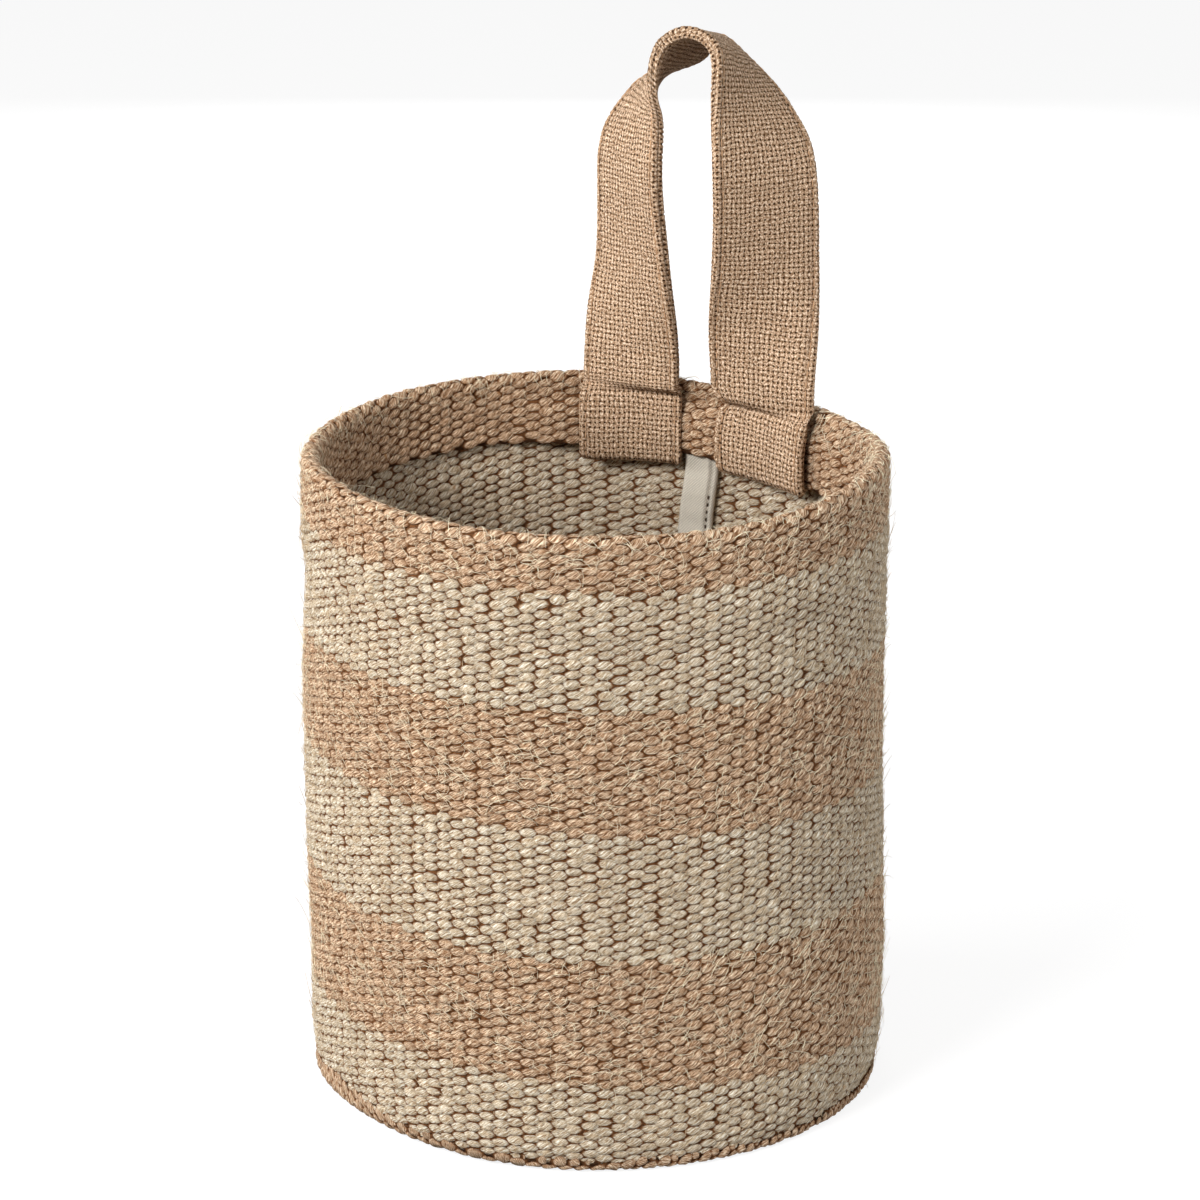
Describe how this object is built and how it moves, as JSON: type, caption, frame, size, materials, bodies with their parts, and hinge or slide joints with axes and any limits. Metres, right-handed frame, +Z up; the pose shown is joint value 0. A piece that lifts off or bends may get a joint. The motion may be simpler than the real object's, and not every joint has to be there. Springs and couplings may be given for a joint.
{
  "type": "storage basket",
  "caption": "Round, soft, open-topped woven storage basket with a folded hem at its rim and a flat fabric strap loop at the back for hanging or carrying.",
  "frame": {"origin": "middle of the base's underside, where the basket stands", "axes": "+Z up, +Y towards the back, where the strap and the wall's seam are, +X to the right seen from the front"},
  "size_m": [0.203, 0.2185, 0.354],
  "materials": {
    "jute_striped": "coarse plain-weave jute, matt, in natural and tan stripes, with stray fibres",
    "jute_brown": "coarse plain-weave tan jute, matt",
    "strap_cloth": "finer plain-weave jute, matt, topstitched along both edges",
    "twill_tape": "pale grey cotton tape, matt, stitched along one edge"
  },
  "bodies": {
    "tub": {"wall_panel": "jute_striped", "base_disc": "jute_brown", "base_seam_binding": "twill_tape", "back_seam_binding": "twill_tape", "strap_end_left": "strap_cloth", "strap_end_right": "strap_cloth"},
    "handle": {"strap_loop": "strap_cloth"}
  },
  "joints": [
    {"name": "handle_fold", "type": "hinge", "parent": "tub", "child": "handle", "pos_m": [0, 0.08447, 0.226], "axis": [1, 0, 0], "range_deg": [-90, 115]}
  ]
}
